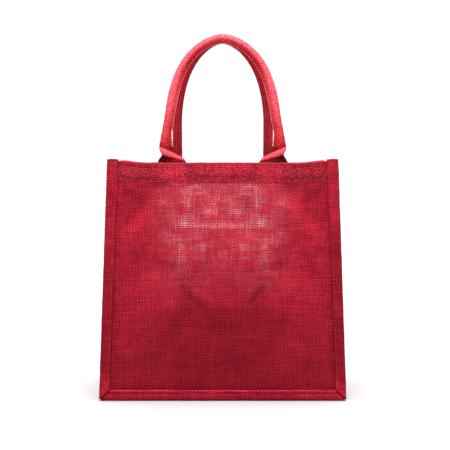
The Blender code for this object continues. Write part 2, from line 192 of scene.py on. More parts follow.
def hessian(name, warp=0.00183, weft=0.00213, specks=0.0, shade=1.0, rows=0.0):
    """Plain-weave jute. UV 'cloth' is in metres along the cloth; UV 'lie' holds (how loose the weave is, the painted
    light and shade that scales the colour). specks: how much of the clear laminate in the open weave is painted pale, a
    painted glint of light on it. rows: how much the weft dominates."""
    g = Graph(name)
    u, v = g.uv()
    loose, tone = g.uv("lie")
    # threads wander a little, and are thicker and thinner along their length
    drift_u = g.math("SUBTRACT", g.noise(g.vector(u, v, 3.1), 45.0, 2.0), 0.5)
    drift_v = g.math("SUBTRACT", g.noise(g.vector(u, v, 9.7), 45.0, 2.0), 0.5)
    un = g.add(g.mul(u, 1.0 / warp), g.mul(drift_u, 1.7))
    vn = g.add(g.mul(v, 1.0 / weft), g.mul(drift_v, 1.5))
    su = g.math("SINE", g.mul(un, math.pi))
    sv = g.math("SINE", g.mul(vn, math.pi))
    cross = g.mul(su, sv)
    au, av = g.math("ABSOLUTE", su), g.math("ABSOLUTE", sv)
    top = g.step(cross, -0.22, 0.22)  # 1 where the warp is on top
    body = g.math("POWER", g.mul(au, av), 0.5)
    warp_id = g.math("FLOOR", un)
    weft_id = g.math("FLOOR", vn)
    warp_var = g.noise(g.vector(g.mul(warp_id, 0.61), g.mul(v, 22.0), 1.0), 1.7, 3.0, 0.6)
    weft_var = g.noise(g.vector(g.mul(u, 20.0), g.mul(weft_id, 0.67), 5.0), 1.7, 3.0, 0.6)
    fibre = g.noise(g.vector(u, v, 0.3), 1500.0, 2.0)
    patch = g.noise(g.vector(u, v, 2.2), 30.0, 3.0, 0.6)
    dark = grey((0.100, 0.0018, 0.0066), shade)
    mid = grey((0.270, 0.0056, 0.0150), shade)
    light = grey((0.78, 0.034, 0.074), shade)
    # in the hem the weft lies uppermost and the threads run in rows
    hem = g.step(loose, -0.6, -0.1, 1.0, 0.0)
    loose = g.math("MAXIMUM", loose, 0.0)
    # the warp floats catch the light; the weft floats lie deeper
    warpness = g.mul(top, g.step(warp_var, 0.32, 0.66, 0.40, 1.05))
    weftness = g.mul(g.math("SUBTRACT", 1.0, top), g.step(weft_var, 0.36, 0.66, 0.0 + 0.2 * rows, 0.50 + 0.45 * rows))
    wavy = g.noise(g.vector(g.mul(u, 300.0), g.mul(weft_id, 0.83), 3.0), 1.6, 2.0, 0.6)
    rowed = g.mul(g.step(av, 0.25, 0.85), g.step(wavy, 0.38, 0.62, 0.05, 1.0))
    woven = g.mul(g.add(warpness, weftness), g.step(body, 0.2, 0.9))
    level = g.add(g.mul(woven, g.math("SUBTRACT", 1.0, g.mul(hem, 0.60))), g.mul(rowed, g.mul(hem, 0.70)))
    level = g.mul(level, g.step(fibre, 0.3, 0.7, 0.7, 1.15))
    # the weave's contrast rises and falls with the painted light and shade in tone
    level = g.mul(level, g.step(tone, 0.55, 1.10, 0.62, 1.22))
    colour = g.mix(g.step(body, 0.1, 0.7), dark, mid)
    colour = g.mix(g.math("MINIMUM", level, 1.0), colour, light)
    # painted light and shade: the colour is scaled by tone, with a random mottle from patch
    colour = g.scale(colour, g.mul(tone, g.step(patch, 0.3, 0.7, 0.90, 1.10)))
    colour = g.mix(g.mul(g.mul(rowed, hem), 0.10), colour, (0.84, 0.17, 0.24, 1))
    if specks:
        # painted glint of light on the clear laminate, drawn pale in the open corners of the weave, in runs along loose
        # threads
        across = g.math("ABSOLUTE", u)
        col = g.math("FLOOR", g.add(g.mul(across, 1.0 / warp), g.mul(drift_u, 0.6)))
        streak_v = g.noise(g.vector(g.mul(col, 0.71), g.mul(v, 26.0), 7.0), 1.3, 2.0, 0.6)
        streak_h = g.noise(g.vector(g.mul(across, 26.0), g.mul(weft_id, 0.71), 4.0), 1.3, 2.0, 0.6)
        fine = g.noise(g.vector(u, v, 6.0), 420.0, 1.0, 0.5)
        runs = g.add(g.step(streak_v, 0.38, 0.66), g.step(streak_h, 0.38, 0.66))
        amount = g.mul(loose, g.add(0.50, g.mul(runs, 0.30)))
        amount = g.mul(amount, g.step(fine, 0.32, 0.6, 0.60, 1.10))
        gap_u = g.step(au, 0.10, 0.82, 1.0, 0.0)
        gap_v = g.step(av, 0.10, 0.78, 1.0, 0.0)
        corner = g.mul(gap_u, gap_v)
        slit_h = g.mul(g.mul(gap_v, g.step(streak_h, 0.50, 0.70)), 0.30)
        slit_v = g.mul(g.mul(gap_u, g.step(streak_v, 0.50, 0.70)), 0.22)
        hole = g.math("MAXIMUM", corner, g.math("MAXIMUM", slit_h, slit_v))
        seen = g.math("MINIMUM", g.mul(g.mul(hole, amount), 1.15 * specks), 0.9)
        pale = g.mix(g.math("MINIMUM", g.mul(amount, 0.75), 1.0), (0.66, 0.20, 0.26, 1), (0.92, 0.66, 0.71, 1))
        colour = g.mix(seen, colour, pale)
    g.put(g.shader.inputs["Base Color"], colour)
    g.put(g.shader.inputs["Roughness"], g.step(body, 0.0, 1.0, 0.98, 0.82))
    g.shader.inputs["Specular IOR Level"].default_value = 0.04
    height = g.add(body, g.mul(top, g.mul(body, 0.35)))
    height = g.add(height, g.mul(fibre, 0.25))
    height = g.mul(height, g.step(warp_var, 0.2, 0.8, 0.75, 1.1))
    g.bump(height, 0.9, 0.0006)
    return g.mat


def twill(name, light, mid, dark, pitch=0.0024, angle=55.0, ribs=False, clear=1.0):
    """Cotton twill: raised diagonal cords of small beads, mirrored half way along. UV 'cloth': u round the tube,
    v along it, in metres; UV 'lie': (v from the nearer foot, the painted light and shade that scales the colour)."""
    g = Graph(name)
    u, v = g.uv()
    near, tone = g.uv("lie")
    a = math.radians(angle)
    wob = g.math("SUBTRACT", g.noise(g.vector(u, v, 1.0), 130.0, 2.0), 0.5)
    along = g.add(g.mul(u, math.cos(a) / pitch), g.mul(near, math.sin(a) / pitch))
    across = g.add(g.mul(u, -math.sin(a) / 0.0022), g.mul(near, math.cos(a) / 0.0022))
    if ribs:
        along = g.mul(u, 1.0 / 0.0027)
        across = g.mul(v, 1.0 / 0.0024)
    line = g.math("ABSOLUTE", g.math("SINE", g.mul(g.add(along, g.mul(wob, 0.7)), math.pi)))
    bead = g.math("ABSOLUTE", g.math("SINE", g.mul(g.add(across, g.mul(wob, 1.2)), math.pi)))
    fuzz = g.noise(g.vector(u, v, 4.0), 1700.0, 2.0)
    patch = g.noise(g.vector(u, v, 8.0), 120.0, 3.0)
    cord = g.math("FLOOR", g.add(along, g.mul(wob, 0.7)))
    dash = g.noise(g.vector(g.mul(across, 0.8), g.mul(cord, 1.37), 2.0), 1.0, 2.0, 0.6)
    height = g.mul(g.math("POWER", line, 0.9), g.step(bead, 0.0, 0.9, 0.45, 1.0))
    level = g.mul(g.step(height, 0.35, 0.80), g.step(fuzz, 0.25, 0.75, 0.75, 1.1))
    level = g.mul(level, g.step(dash, 0.34, 0.58, 1.0 - 0.8 * clear, 1.2))
    level = g.mul(level, g.step(patch, 0.3, 0.7, 1.0 - 0.35 * clear, 1.15))
    colour = g.mix(g.step(height, 0.20, 0.80), dark, mid)
    colour = g.mix(g.math("MINIMUM", level, 1.0), colour, light)
    # painted light and shade: the colour is scaled by tone
    colour = g.shade_by_tone(colour, tone)
    g.put(g.shader.inputs["Base Color"], colour)
    g.put(g.shader.inputs["Roughness"], g.step(height, 0.0, 1.0, 0.95, 0.8))
    g.shader.inputs["Specular IOR Level"].default_value = 0.03
    g.bump(g.add(height, g.mul(fuzz, 0.3)), 0.9, 0.0006)
    return g.mat


def strand(name, light, dark, twist=0.0022):
    """A plied sewing thread or rope: diagonal plies along the length."""
    g = Graph(name)
    u, v = g.uv()
    t = g.math("ABSOLUTE", g.math("SINE", g.mul(g.add(g.mul(v, 1.0 / twist), u), math.pi)))
    fuzz = g.noise(g.vector(u, g.mul(v, 900.0), 0.0), 2.0, 2.0)
    colour = g.mix(g.mul(g.step(t, 0.1, 0.8), g.step(fuzz, 0.2, 0.8, 0.8, 1.0)), dark, light)
    g.put(g.shader.inputs["Base Color"], colour)
    g.put(g.shader.inputs["Roughness"], g.step(t, 0.0, 1.0, 0.75, 0.5))
    g.shader.inputs["Specular IOR Level"].default_value = 0.2
    g.bump(t, 0.6, 0.0002)
    return g.mat


FRONT = hessian("hessian_front", specks=1.0)
BACK = hessian("hessian_back", specks=0.7)
SIDE = hessian("hessian_gusset")
TAPE = hessian("hessian_binding", warp=0.0016, weft=0.0021, rows=0.5)
TAPE_FLAT = hessian("hessian_binding_foot", warp=0.0021, weft=0.0022, rows=0.4)
COTTON = twill("twill_handle", (1.0, 0.150, 0.180, 1), (0.78, 0.052, 0.074, 1), (0.26, 0.006, 0.014, 1))
COTTON_FOLD = twill("twill_fold", (0.96, 0.110, 0.130, 1), (0.80, 0.062, 0.084, 1), (0.46, 0.020, 0.034, 1), clear=0.6)
# the back handle's twill, drawn darker and redder than the front's: painted shade, as it stands in the front handle's
# shade
COTTON_BACK_SHADED = twill(
    "twill_handle_back_painted_shade",
    (1.0, 0.098, 0.140, 1),
    (0.72, 0.031, 0.058, 1),
    (0.24, 0.005, 0.013, 1),
    ribs=True,
)
ORANGE = strand("orange_sewing_thread", (0.52, 0.022, 0.018, 1), (0.26, 0.006, 0.006, 1))
TACK = strand("bartack_thread", (0.84, 0.115, 0.045, 1), (0.58, 0.045, 0.022, 1))
RED = strand("red_sewing_thread", (0.36, 0.012, 0.024, 1), (0.15, 0.004, 0.008, 1))
# pale thread for the front handle's seam: the seam is real, its pale colour is a painted highlight along the tube's
# inner edge
PINK = strand("seam_thread", (0.80, 0.22, 0.26, 1), (0.58, 0.08, 0.11, 1))
FLUFF = strand("jute_fibre", (0.70, 0.20, 0.22, 1), (0.45, 0.05, 0.06, 1))
# paler than the panel's cloth: painted highlight where the rim's fold catches light from above
CROWN = strand("rim_yarn", (0.72, 0.18, 0.21, 1), (0.42, 0.03, 0.05, 1), twist=0.004)
ROPE = strand("rope_core", (0.60, 0.20, 0.19, 1), (0.28, 0.06, 0.06, 1), twist=0.006)


# ================================================================ mesh helpers
def shell(name, points, uvs, skin, thickness=SHEET, keep=None, close_u=False, offset=0.0, lie=None):
    """A sheet from an array of points [rows][columns], with UVs in metres, thickened by Solidify."""
    rows, cols = len(points), len(points[0])
    bm = bmesh.new()
    layer = bm.loops.layers.uv.new("cloth")
    second = bm.loops.layers.uv.new("lie")
    grid = [[None] * cols for _ in range(rows)]
    used = set()
    last = cols if close_u else cols - 1
    for r in range(rows - 1):
        for c in range(last):
            if keep is None or keep(c, r):
                used |= {(r, c), (r, (c + 1) % cols), (r + 1, c), (r + 1, (c + 1) % cols)}
    for r in range(rows):
        for c in range(cols):
            if (r, c) in used:
                grid[r][c] = bm.verts.new(points[r][c])
    for r in range(rows - 1):
        for c in range(last):
            if keep is not None and not keep(c, r):
                continue
            n = (c + 1) % cols
            f = bm.faces.new((grid[r][c], grid[r][n], grid[r + 1][n], grid[r + 1][c]))
            f.smooth = True
            where = ((r, c), (r, c + 1), (r + 1, c + 1), (r + 1, c))
            for loop, (rr, cc) in zip(f.loops, where):
                loop[second].uv = lie[rr][cc % cols] if lie else (0.0, 1.0)
                if close_u and cc == cols:
                    uu = uvs[rr][0][0] + uvs[rr][-1][0] * cols / (cols - 1)
                    loop[layer].uv = (uu, uvs[rr][0][1])
                else:
                    loop[layer].uv = uvs[rr][cc]
    if close_u:
        bmesh.ops.recalc_face_normals(bm, faces=bm.faces)
    mesh = bpy.data.meshes.new(name)
    bm.to_mesh(mesh)
    bm.free()
    obj = bpy.data.objects.new(name, mesh)
    bpy.context.scene.collection.objects.link(obj)
    mesh.materials.append(skin)
    if thickness:
        s = obj.modifiers.new("cloth", "SOLIDIFY")
        s.thickness = thickness
        s.offset = offset
        s.use_even_offset = not close_u
    return obj


def tube(name, points, radius, skin, sides=8, wobble=0.0, cyclic=False, twist_uv=1.0):
    """A closed thread along points, as a mesh with capped ends."""
    pts = [Vector(p) for p in points]
    n = len(pts)
    bm = bmesh.new()
    layer = bm.loops.layers.uv.new("cloth")
    rings, along = [], 0.0
    lengths = []
    up = None
    for i, p in enumerate(pts):
        a = pts[(i - 1) % n] if (cyclic or i > 0) else p
        b = pts[(i + 1) % n] if (cyclic or i < n - 1) else p
        t = (b - a).normalized()
        if up is None:
            up = Vector((0, 1, 0)) if abs(t.y) < 0.9 else Vector((1, 0, 0))
        side = t.cross(up).normalized()
        up = side.cross(t).normalized()
        r = radius * (1 + wobble * (noise.noise(p * 700) if wobble else 0))
        ring = []
        for k in range(sides):
            ang = 2 * math.pi * k / sides
            ring.append(bm.verts.new(p + (side * math.cos(ang) + up * math.sin(ang)) * r))
        rings.append(ring)
        if i:
            along += (p - pts[i - 1]).length
        lengths.append(along)
    spans = list(range(n - 1)) + ([n - 1] if cyclic else [])
    for i in spans:
        j = (i + 1) % n
        for k in range(sides):
            m = (k + 1) % sides
            f = bm.faces.new((rings[i][k], rings[i][m], rings[j][m], rings[j][k]))
            f.smooth = True
            us = (k / sides, (k + 1) / sides, (k + 1) / sides, k / sides)
            vs = (lengths[i], lengths[i], lengths[j] if j else lengths[i] + 0.001, lengths[j] if j else lengths[i] + 0.001)
            for loop, uu, vv in zip(f.loops, us, vs):
                loop[layer].uv = (uu * twist_uv, vv)
    if not cyclic:
        bm.faces.new(rings[0])
        bm.faces.new(rings[-1])
    bmesh.ops.recalc_face_normals(bm, faces=bm.faces)
    mesh = bpy.data.meshes.new(name)
    bm.to_mesh(mesh)
    bm.free()
    obj = bpy.data.objects.new(name, mesh)
    bpy.context.scene.collection.objects.link(obj)
    mesh.materials.append(skin)
    return obj


def stitches(name, line, skin, pitch=0.0034, gap=0.0009, radius=0.00042, lift=0.0003, outward=(0, -1, 0)):
    """A row of separate stitches that dip into the cloth at both ends, joined as one mesh."""
    line = [Vector(p) for p in line]
    out = Vector(outward)
    seg = [(a, b, (b - a).length) for a, b in zip(line, line[1:])]
    bm = bmesh.new()
    layer = bm.loops.layers.uv.new("cloth")
    for a, b, length in seg:
        count = max(1, int(length / pitch))
        step = length / count
        t = (b - a).normalized()
        side = t.cross(out).normalized()
        for i in range(count):
            s0, s1 = i * step + gap / 2, (i + 1) * step - gap / 2
            rings = []
            jig = (rng.random() - 0.5) * 0.00018
            for k in range(5):
                f = k / 4
                h = math.sin(math.pi * f)
                p = a + t * (s0 + (s1 - s0) * f) + out * (lift * h - 0.0005 * (1 - h)) + side * jig
                r = radius * (0.65 + 0.35 * h)
                rings.append(
                    [bm.verts.new(p + (side * math.cos(q) + out * math.sin(q)) * r) for q in [j * math.pi / 3 for j in range(6)]]
                )
            for k in range(4):
                for j in range(6):
                    m = (j + 1) % 6
                    f = bm.faces.new((rings[k][j], rings[k][m], rings[k + 1][m], rings[k + 1][j]))
                    f.smooth = True
                    for loop, (uu, vv) in zip(f.loops, ((j, k), (j + 1, k), (j + 1, k + 1), (j, k + 1))):
                        loop[layer].uv = (uu / 6, s0 + (s1 - s0) * vv / 4)
            bm.faces.new(rings[0][::-1])
            bm.faces.new(rings[-1])
    bmesh.ops.recalc_face_normals(bm, faces=bm.faces)
    mesh = bpy.data.meshes.new(name)
    bm.to_mesh(mesh)
    bm.free()
    obj = bpy.data.objects.new(name, mesh)
    bpy.context.scene.collection.objects.link(obj)
    mesh.materials.append(skin)
    return obj


# ================================================================ the lie of the cloth
def relief(x, z):
    """How far the panel stands out from its plane: soft dents and swells, mirrored, dying out at the seams."""
    ax = abs(x)
    inner = half_width(z) - BINDING_W
    edge = smooth(0.0, 0.030, inner - ax) * smooth(0.012, 0.05, z) * smooth(0.0, 0.03, RIM - z + 0.012)
    d = 0.0
    # two slanting dents low in the middle, under the centre of the panel
    for cx, cz, ang, ln, wd, amp in (
        (0.041, 0.131, 50, 0.020, 0.0060, -0.9),
        (0.052, 0.120, 50, 0.024, 0.0090, 0.5),
        (0.020, 0.092, 4, 0.034, 0.0090, -0.7),
        (0.085, 0.205, -38, 0.050, 0.020, 1.6),
        (0.112, 0.235, -42, 0.040, 0.014, -1.2),
        (0.100, 0.112, -30, 0.055, 0.018, -1.0),
        (0.078, 0.140, -24, 0.060, 0.022, 1.5),
        (0.115, 0.060, -18, 0.045, 0.018, 0.9),
        (0.070, 0.052, 6, 0.060, 0.016, -0.7),
        (0.118, 0.165, -70, 0.060, 0.014, -0.8),
    ):
        a = math.radians(ang)
        dx, dz = ax - cx, z - cz
        along = dx * math.cos(a) + dz * math.sin(a)
        off = -dx * math.sin(a) + dz * math.cos(a)
        d += amp * math.exp(-((along / ln) ** 2) - (off / wd) ** 2)
    d += 1.1 * wave(ax, z, 3.0, 26.0) + 0.5 * wave(ax, z, 8.0, 62.0)
    d += 1.5 * smooth(0.02, 0.20, z) * math.cos(math.pi * ax / 0.30)
    return d * edge * MM


def rim_lift(x, z):
    """The rim rises towards the side bindings and sags between them."""
    inner = half_width(RIM) - BINDING_W
    t = smooth(inner - 0.036, inner, abs(x))
    return 0.0026 * t - 0.0004 + 0.0003 * wave(x, 0.0, 5.0, 90.0)


def ramp(value, stops):
    """Piecewise-linear curve through (position, height) stops."""
    if value <= stops[0][0]:
        return stops[0][1]
    for (a, fa), (b, fb) in zip(stops, stops[1:]):
        if value <= b:
            return fa + (fb - fa) * (value - a) / (b - a)
    return stops[-1][1]


def spot(ax, z, cx, cz, ln, wd, angle=0.0):
    """A soft slanted patch, 1 in the middle."""
    a = math.radians(angle)
    dx, dz = ax - cx, z - cz
    along = dx * math.cos(a) + dz * math.sin(a)
    off = -dx * math.sin(a) + dz * math.cos(a)
    return math.exp(-((along / ln) ** 2) - (off / wd) ** 2)


# painted shade: the panel's colour by height, darker towards the bottom where less of the overhead light falls, with a
# darker dip at the hem's lower edge
PAINTED_SHADE_BY_HEIGHT = [
    (0.0, 0.66),
    (0.03, 0.68),
    (0.066, 0.70),
    (0.10, 0.74),
    (0.135, 0.83),
    (0.17, 0.92),
    (0.20, 0.96),
    (0.25, 0.98),
    (0.268, 0.96),
    (0.274, 0.88),
    (0.30, 0.92),
]

FOLD_LIGHT_AND_SHADE = (
    # painted light and shade of the folds and dents: across, height, length, width, slant, how much lighter or deeper
    (0.041, 0.131, 0.019, 0.0038, 50, -0.25),
    (0.050, 0.141, 0.008, 0.0050, 20, -0.16),
    (0.028, 0.139, 0.022, 0.0060, 46, 0.07),
    (0.000, 0.0915, 0.056, 0.0042, 0, -0.13),
    (0.000, 0.1120, 0.022, 0.0050, 0, -0.09),
    (0.006, 0.133, 0.014, 0.012, 0, 0.10),
    (0.092, 0.143, 0.030, 0.018, -20, 0.17),
    (0.062, 0.128, 0.022, 0.010, -40, 0.08),
    (0.085, 0.238, 0.030, 0.012, -42, 0.14),
    (0.110, 0.252, 0.022, 0.012, -38, -0.08),
    (0.098, 0.2765, 0.034, 0.0032, 0, -0.30),
    (0.022, 0.2785, 0.024, 0.0026, 0, -0.24),
    (0.078, 0.2680, 0.014, 0.0060, 0, -0.22),
    (0.118, 0.2600, 0.020, 0.0045, 35, -0.18),
    (0.105, 0.2400, 0.030, 0.0050, -48, -0.12),
    (0.112, 0.2120, 0.026, 0.0060, -50, 0.12),
    (0.100, 0.1860, 0.030, 0.0050, -55, -0.12),
    (0.080, 0.1100, 0.034, 0.0060, -40, 0.08),
    (0.060, 0.281, 0.016, 0.008, 0, 0.10),
    (0.037, 0.283, 0.008, 0.010, 0, -0.12),
    (0.030, 0.276, 0.014, 0.004, 0, -0.18),
    (0.100, 0.285, 0.016, 0.008, -10, -0.10),
    (0.046, 0.172, 0.016, 0.020, 0, -0.08),
    (0.068, 0.170, 0.018, 0.006, 0, -0.14),
    (0.030, 0.246, 0.016, 0.010, 0, -0.10),
    (0.122, 0.150, 0.012, 0.040, 80, -0.06),
    (0.075, 0.062, 0.050, 0.014, 8, 0.05),
    (0.118, 0.230, 0.012, 0.030, 90, -0.06),
)

LOOSE = (
    # across, height, half length, half width: where the weave has opened
    (0.0485, 0.2225, 0.0045, 0.0050, 1.35),
    (0.0360, 0.2235, 0.0095, 0.0036, 0.95),
    (0.0430, 0.2540, 0.0034, 0.0220, 0.70),
    (0.0150, 0.2352, 0.0085, 0.0048, 1.05),
    (0.0150, 0.2168, 0.0090, 0.0022, 1.05),
    (0.0020, 0.2195, 0.0075, 0.0036, 0.85),
    (0.0570, 0.2195, 0.0085, 0.0042, 0.75),
    (0.0350, 0.2152, 0.0055, 0.0022, 0.85),
    (0.0320, 0.2050, 0.0050, 0.0040, 0.65),
    (0.0265, 0.1900, 0.0046, 0.0042, 0.95),
    (0.0265, 0.1785, 0.0044, 0.0026, 0.70),
    (0.0510, 0.1885, 0.0040, 0.0090, 0.75),
    (0.0590, 0.2010, 0.0100, 0.0050, 0.55),
    (0.0490, 0.1775, 0.0140, 0.0034, 0.65),
    (0.0120, 0.1968, 0.0090, 0.0016, 0.85),
    (0.0130, 0.2630, 0.0190, 0.0034, 0.60),
    (0.0360, 0.2620, 0.0100, 0.0060, 0.45),
    (0.0780, 0.2530, 0.0100, 0.0065, 0.38),
    (0.0470, 0.2590, 0.0060, 0.0050, 0.30),
    (0.0200, 0.2480, 0.0200, 0.0090, 0.40),
    (0.0700, 0.1560, 0.0160, 0.0040, 0.36),
    (0.0620, 0.1450, 0.0110, 0.0040, 0.30),
    (0.0060, 0.1760, 0.0060, 0.0110, 0.42),
)


def panel_lie(x, z, run):
    """(how loose the weave is, the painted light and shade) at a point of the panel; run is the way along the cloth."""
    ax = abs(x)
    tone = ramp(z, PAINTED_SHADE_BY_HEIGHT)
    # painted light: paler high in the middle and low at the sides, darker high at the sides and low in the middle
    low = smooth(0.17, 0.11, z)
    out = smooth(0.035, 0.115, ax)
    tone *= 1 + low * (-0.05 + 0.14 * out) + (1 - low) * (0.06 - 0.09 * out)
    for cx, cz, ln, wd, slant, amount in FOLD_LIGHT_AND_SHADE:
        tone *= 1 + amount * spot(ax, z, cx, cz, ln, wd, slant)
    tone *= 1 + 0.10 * wave(ax, z, 3.0, 34.0) + 0.06 * wave(ax, z, 11.0, 90.0)
    # painted shade: darker in the corners beside the bindings and along the bottom binding
    inner = half_width(z) - BINDING_W
    tone *= 1 - 0.10 * smooth(0.012, 0.0, inner - ax) - 0.12 * smooth(0.020, 0.0135, z)
    loose = 0.0
    if z < 0.2702:
        wide = smooth(0.108, 0.050, ax + 0.016 * wave(ax, z, 31.0, 40.0)) * smooth(0.112, 0.178, z + 0.25 * max(0.0, 0.06 - ax) * 0.6)
        wide *= 1 - 0.45 * smooth(0.040, 0.0, ax) * smooth(0.185, 0.150, z)
        wide *= 1 - 0.45 * smooth(0.262, 0.272, z) * smooth(0.05, 0.09, ax)
        loose = wide * (0.50 + 0.22 * smooth(0.17, 0.22, z) + 0.55 * wave(ax, z, 21.0, 48.0) + 0.35 * wave(ax, z, 27.0, 130.0))
        for cx, cz, ln, wd, amount in LOOSE:
            ex = max(0.0, abs(ax - cx) / ln - 0.45)
            ez = max(0.0, abs(z - cz) / wd - 0.45)
            loose += amount * math.exp(-1.1 * (ex * ex + ez * ez)) * 0.55
    else:
        # two layers in the hem: denser, the weft uppermost; painted shadow darkens its lower edge
        loose = -0.6
        tone *= 1 - 0.16 * smooth(0.0045, 0.0, z - 0.2702)
    # painted highlight where the fold turns over the rim towards the corners: paler, with more of the painted laminate
    # glint; painted shade just below the fold there
    if run > RIM - 0.0030:
        pale = smooth(0.066, 0.118, ax)
        tone *= 1 + 0.5 * pale * smooth(RIM - 0.0022, RIM - 0.0008, run)
        loose = max(loose, (0.3 + 1.1 * pale) * smooth(RIM - 0.0022, RIM - 0.0006, run))
    elif run > RIM - 0.0068:
        tone *= 1 - 0.28 * smooth(0.070, 0.110, ax)
    return (loose, tone)


def panel(label, back):
    """The hemmed panel: one sheet from its bottom edge up, over the rim and down the inside."""
    s = 1 if back else -1
    cols, rows = 214, 204
    fold_r = 0.0011
    hem_rows = 14
    arc = 6
    us = [-1 + 2 * c / cols for c in range(cols + 1)]
    pts, uvs, lies = [], [], []
    fold_z = RIM - SHEET / 2 - fold_r
    limit = wall_x(RIM) - 0.0038
    for r in range(rows + 1):
        z = EDGE_INSET + (fold_z - EDGE_INSET) * r / rows
        row, uvrow, lie = [], [], []
        for u in us:
            x = u * (half_width(z) - EDGE_INSET)
            lift = rim_lift(x, z) * smooth(0.24, RIM, z)
            # beside the binding the panel's edge runs up as one layer
            lift += 0.0016 * smooth(limit - 0.0012, limit + 0.0010, abs(x)) * smooth(fold_z - 0.01, fold_z, z)
            corner = smooth(0.070, 0.131, abs(x)) * smooth(RIM - 0.005, fold_z, z)
            y = PANEL_MID + relief(x, z) - 0.0012 * corner
            row.append((x, s * y, z + lift))
            uvrow.append((x if not back else -x, z))
            lie.append(panel_lie(x, z, z + (0.0016 if abs(x) > limit and r > rows - 2 else 0.0)))
        pts.append(row)
        uvs.append(uvrow)
        lies.append(lie)
    for i in range(1, arc + 1):
        a = math.pi * i / arc
        row, uvrow, lie = [], [], []
        for u in us:
            x = u * (half_width(fold_z) - EDGE_INSET)
            corner = smooth(0.070, 0.131, abs(x))
            y = PANEL_MID + relief(x, fold_z) - 0.0012 * corner - fold_r * (1 - math.cos(a))
            z = fold_z + fold_r * math.sin(a) + rim_lift(x, RIM) + 0.0010 * corner * math.sin(a / 2)
            row.append((x, s * y, z))
            uvrow.append((x if not back else -x, fold_z + fold_r * a))
            lie.append(panel_lie(x, fold_z, fold_z + fold_r * a))
        pts.append(row)
        uvs.append(uvrow)
        lies.append(lie)
    for r in range(1, hem_rows + 1):
        z = fold_z - (HEM - 0.002) * r / hem_rows
        row, uvrow = [], []
        for u in us:
            x = u * (half_width(z) - EDGE_INSET)
            corner = smooth(0.070, 0.131, abs(x)) * smooth(RIM - 0.006, fold_z, z)
            y = PANEL_MID - 2 * fold_r + relief(x, z) - 0.0012 * corner
            lift = rim_lift(x, z) * smooth(0.24, RIM, z)
            row.append((x, s * y, z + lift))
            uvrow.append((x if not back else -x, 2 * fold_z - z + math.pi * fold_r))
        pts.append(row)
        uvs.append(uvrow)
        lies.append([(0.0, 0.95)] * (cols + 1))

    def keep(c, r):
        if r < rows:
            return True
        x = abs((us[c] + us[c + 1]) / 2) * (half_width(RIM) - EDGE_INSET)
        # inside, the turned hem stops short of the gusset's crease
        return x < limit - (0.0055 if r >= rows + arc - 1 else 0.0)

    obj = shell(f"{label}_cloth", pts, uvs, BACK if back else FRONT, keep=keep, lie=lies)
    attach(obj, f"{label}_side")
    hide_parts(f"{label}_panel")
    return obj


def side_binding(label, where, back):
    s = 1 if back else -1
    side = -1 if where == "left" else 1
    # profile across the folded tape: (inset from the outer edge, depth)
    out, inn = BINDING_OUT, BINDING_IN
    prof = []
    lip = 0.0007
    prof.append((BINDING_W, out - 0.0009))
    prof.append((BINDING_W - 0.0009, out - 0.0001))
    for k in range(1, 8):
        f = k / 8
        prof.append((BINDING_W - 0.0009 - (BINDING_W - 0.0030) * f, out + 0.00035 * math.sin(math.pi * f)))
    for k in range(9):
        a = math.pi * k / 8
        rr = (out - inn) / 2
        prof.append((rr * 0.9 + SHEET / 2 - rr * 0.9 * math.sin(a), (out + inn) / 2 + rr * math.cos(a)))
    for k in range(1, 5):
        f = k / 4
        prof.append((0.003 + (BINDING_W - 0.003) * f, inn))
    rows = 150
    pts, uvs, lies = [], [], []
    arc = [0.0]
    for p, q in zip(prof, prof[1:]):
        arc.append(arc[-1] + math.dist(p, q))
    for r in range(rows + 1):
        row, uvrow, lie = [], [], []
        t = (r / rows) ** 1.25
        for (inset, depth), w in zip(prof, arc):
            z0 = inset + 0.0006
            z = z0 + (SIDE_TOP - z0) * t
            top = smooth(0.285, SIDE_TOP, z)
            # the tape is folded a little wider towards the top
            x = side * (half_width(z) - inset * (1 + 0.10 * smooth(0.02, 0.26, z)))
            x += side * 0.00035 * wave(z, side, s, 55.0)
            x += side * 0.0003 * wave(z, side * 2, s, 420.0) * smooth(0.004, 0.0, inset)
            y = depth + 0.00035 * wave(inset * 3, z, s + side, 70.0) * smooth(0, 0.02, z)
            # the folded corner stands a little proud along its slanting edge
            y += 0.0007 * math.exp(-(((z - z0) / 0.0035) ** 2)) * (depth > PANEL_MID)
            zz = z + 0.0005 * top * math.sin(inset * 320) - 0.0006 * top * (1 - inset / BINDING_W)
            row.append((x, s * y, zz))
            uvrow.append((side * s * w, z))
            # painted light and shade: the tape darker low down and paler towards the top, paler on the proud folded
            # corner above its mitred foot and along its inner edge near the top, darker along its outer fold; the waves
            # are random mottle
            tone = 0.86 * ramp(z, [(0.0, 0.80), (0.02, 0.80), (0.12, 0.82), (0.2, 0.92), (0.29, 1.06), (0.302, 0.98)])
            tone *= 1 + 0.16 * wave(inset, z, s + side * 2, 60.0) + 0.10 * wave(0.0, z, 9 + side, 300.0)
            tone *= 1 + 0.35 * smooth(0.020, 0.006, z - z0) * smooth(0.0, 0.002, z - z0)
            tone *= 1 - 0.25 * smooth(0.0015, 0.0, inset) + 0.18 * smooth(0.0122, 0.0128, inset) * smooth(0.24, 0.29, z)
            lie.append((0.0, tone))
        pts.append(row)
        uvs.append(uvrow)
        lies.append(lie)
    obj = shell(f"{label}_{where}_binding_tape", pts, uvs, TAPE, thickness=0.0012, lie=lies)
    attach(obj, f"{label}_side")
    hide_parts(f"{label}_{where}_binding")
    return obj


